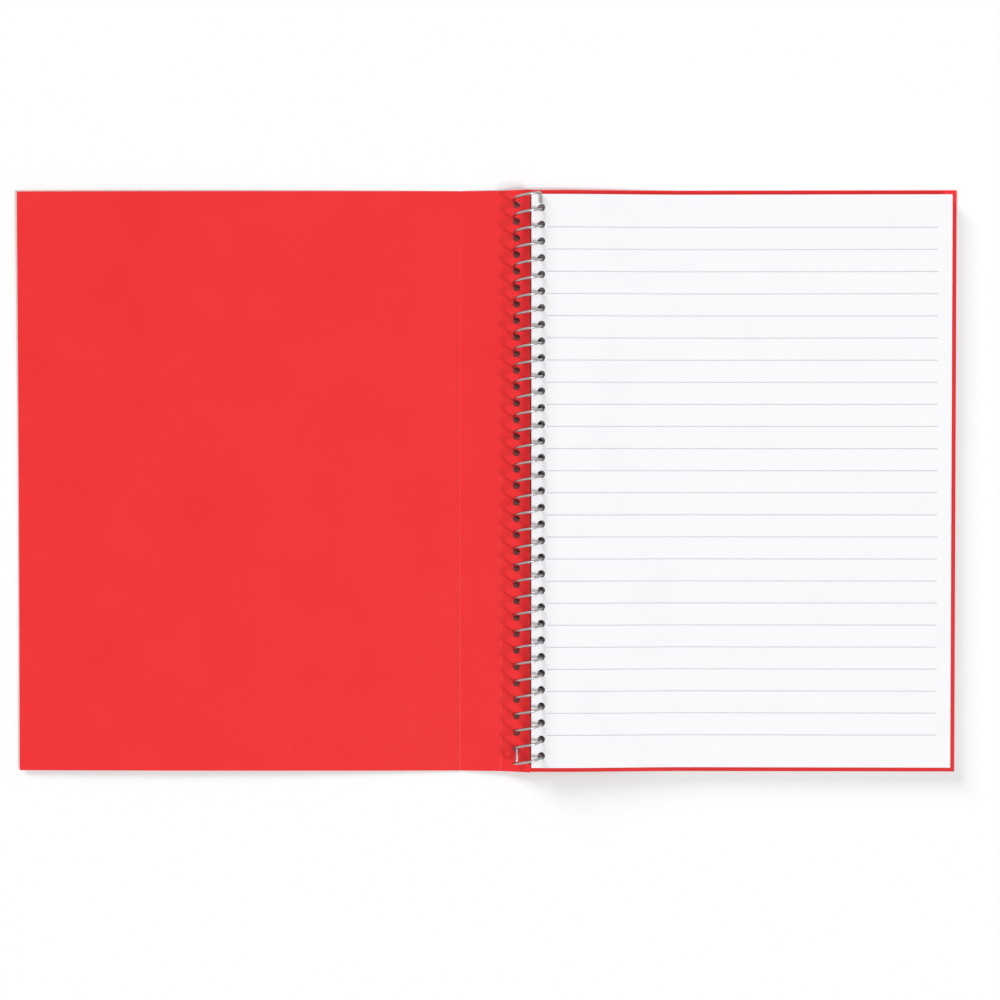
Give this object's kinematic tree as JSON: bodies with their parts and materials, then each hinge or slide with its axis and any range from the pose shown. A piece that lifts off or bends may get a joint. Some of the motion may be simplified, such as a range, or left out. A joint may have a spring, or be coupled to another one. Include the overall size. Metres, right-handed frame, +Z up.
{
  "type": "open spiral notebook",
  "caption": "Spiral notebook lying open: wrap-around front card cover to the left, ruled page block and back cover to the right, bound by one wire coil.",
  "frame": {"origin": "on the surface it lies on, under the middle of the opened notebook's box", "axes": "+X to the right across the opened notebook as it is read, from the front cover to the pages, +Y towards the head of the page along the coil, +Z up"},
  "size_m": [0.3566, 0.2206, 0.012],
  "materials": {
    "cover_card": "smooth coated card, satin",
    "page_paper": "matt writing paper with faint grey ruled lines",
    "coil_wire": "bright drawn wire"
  },
  "bodies": {
    "bound_block": {"wire_coil": "coil_wire", "page_block": "page_paper", "cover_flap": "cover_card"},
    "spine_panel": {"cover_spine": "cover_card"},
    "front_panel": {"front_cover": "cover_card"},
    "back_panel": {"back_cover": "cover_card"}
  },
  "joints": [
    {"name": "spine_fold", "type": "hinge", "parent": "bound_block", "child": "spine_panel", "pos_m": [0.006, 0, 0.00128], "axis": [0, 1, 0], "range_deg": [0, 108]},
    {"name": "front_cover_fold", "type": "hinge", "parent": "spine_panel", "child": "front_panel", "pos_m": [-0.00947, 0, 0.00023], "axis": [0, 1, 0], "range_deg": [0, 74.5]},
    {"name": "back_cover_swing", "type": "hinge", "parent": "bound_block", "child": "back_panel", "pos_m": [0.01607, 0, 0.006], "axis": [0, 1, 0], "range_deg": [0, 25]}
  ]
}
